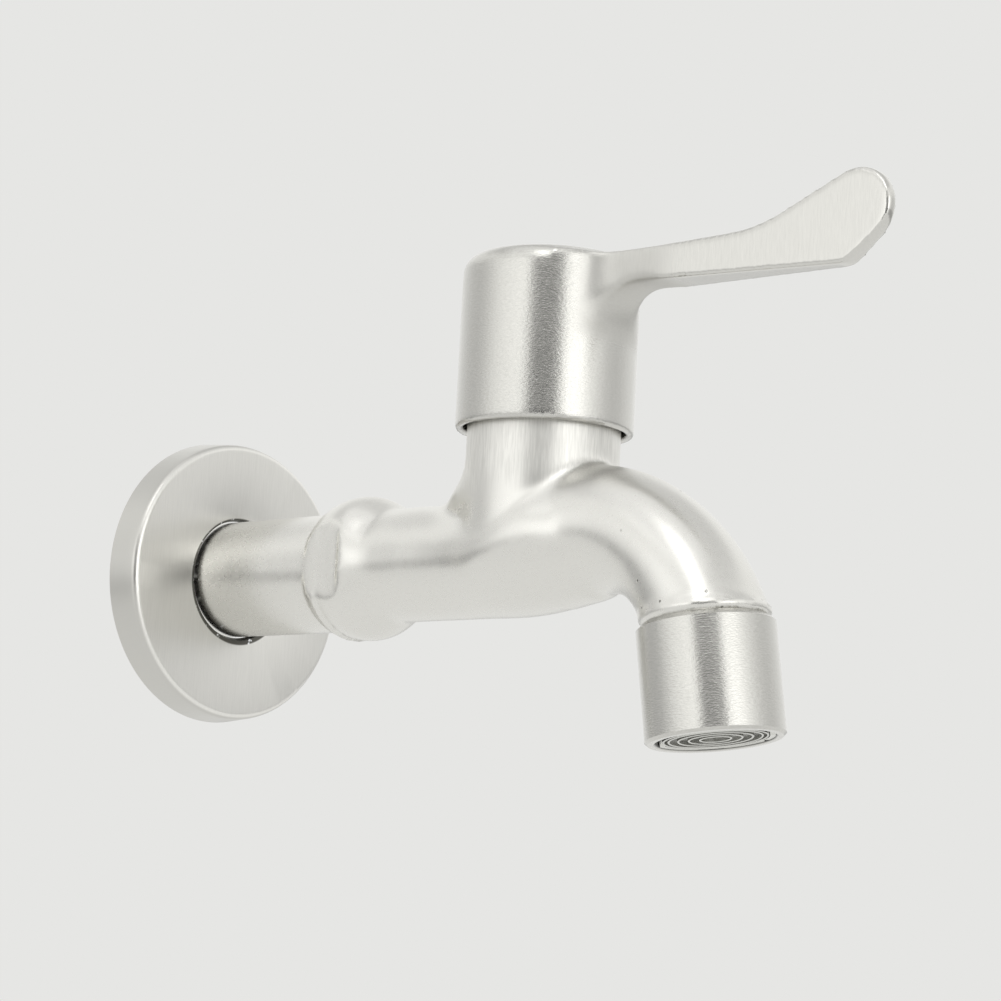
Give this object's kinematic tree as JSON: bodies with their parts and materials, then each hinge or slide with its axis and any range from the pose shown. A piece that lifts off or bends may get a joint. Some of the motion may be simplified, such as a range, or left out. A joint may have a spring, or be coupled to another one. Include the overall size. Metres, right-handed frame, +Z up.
{
  "type": "wall tap",
  "caption": "Stainless steel quarter-turn cold water bib tap with wall flange, one-piece cap and lever, ceramic disc cartridge and down-turned spout with aerator.",
  "frame": {"origin": "centre of the inlet thread where it leaves the wall, in the plane of the finished wall", "axes": "+X along the shank away from the wall, towards the spout; +Z up along the valve spindle; +Y to the left seen from the spout's end"},
  "size_m": [0.1628, 0.052, 0.0904],
  "materials": {
    "brushed_stainless": "satin",
    "spring_steel": "satin",
    "turned_brass": "satin",
    "alumina": "gloss",
    "black_rubber": "matte",
    "white_acetal": "matte",
    "grey_acetal": "matte"
  },
  "bodies": {
    "tap_body": {"body": "brushed_stainless", "aerator_housing": "brushed_stainless", "aerator_retaining_ring": "brushed_stainless", "aerator_ring_grid": "brushed_stainless", "aerator_screen": "brushed_stainless", "aerator_dome_screen": "brushed_stainless", "cartridge_shell": "turned_brass", "fixed_disc": "alumina", "seat_seal": "black_rubber", "shell_o_ring": "black_rubber", "aerator_washer": "black_rubber", "aerator_core": "grey_acetal", "aerator_diffuser": "grey_acetal"},
    "lever": {"handle": "brushed_stainless", "handle_screw": "brushed_stainless", "cartridge_spindle": "turned_brass", "spindle_o_ring_lower": "black_rubber", "spindle_o_ring_upper": "black_rubber", "friction_washer": "white_acetal", "spindle_clip": "spring_steel", "moving_disc": "alumina"},
    "flange": {"wall_flange": "brushed_stainless"}
  },
  "joints": [
    {"name": "lever_turn", "type": "hinge", "parent": "tap_body", "child": "lever", "pos_m": [0.0792, 0, 0.036], "axis": [0, 0, 1], "range_deg": [0, 90]},
    {"name": "flange_slide", "type": "slide", "parent": "tap_body", "child": "flange", "axis": [1, 0, 0], "range_m": [0, 0.0265]}
  ]
}
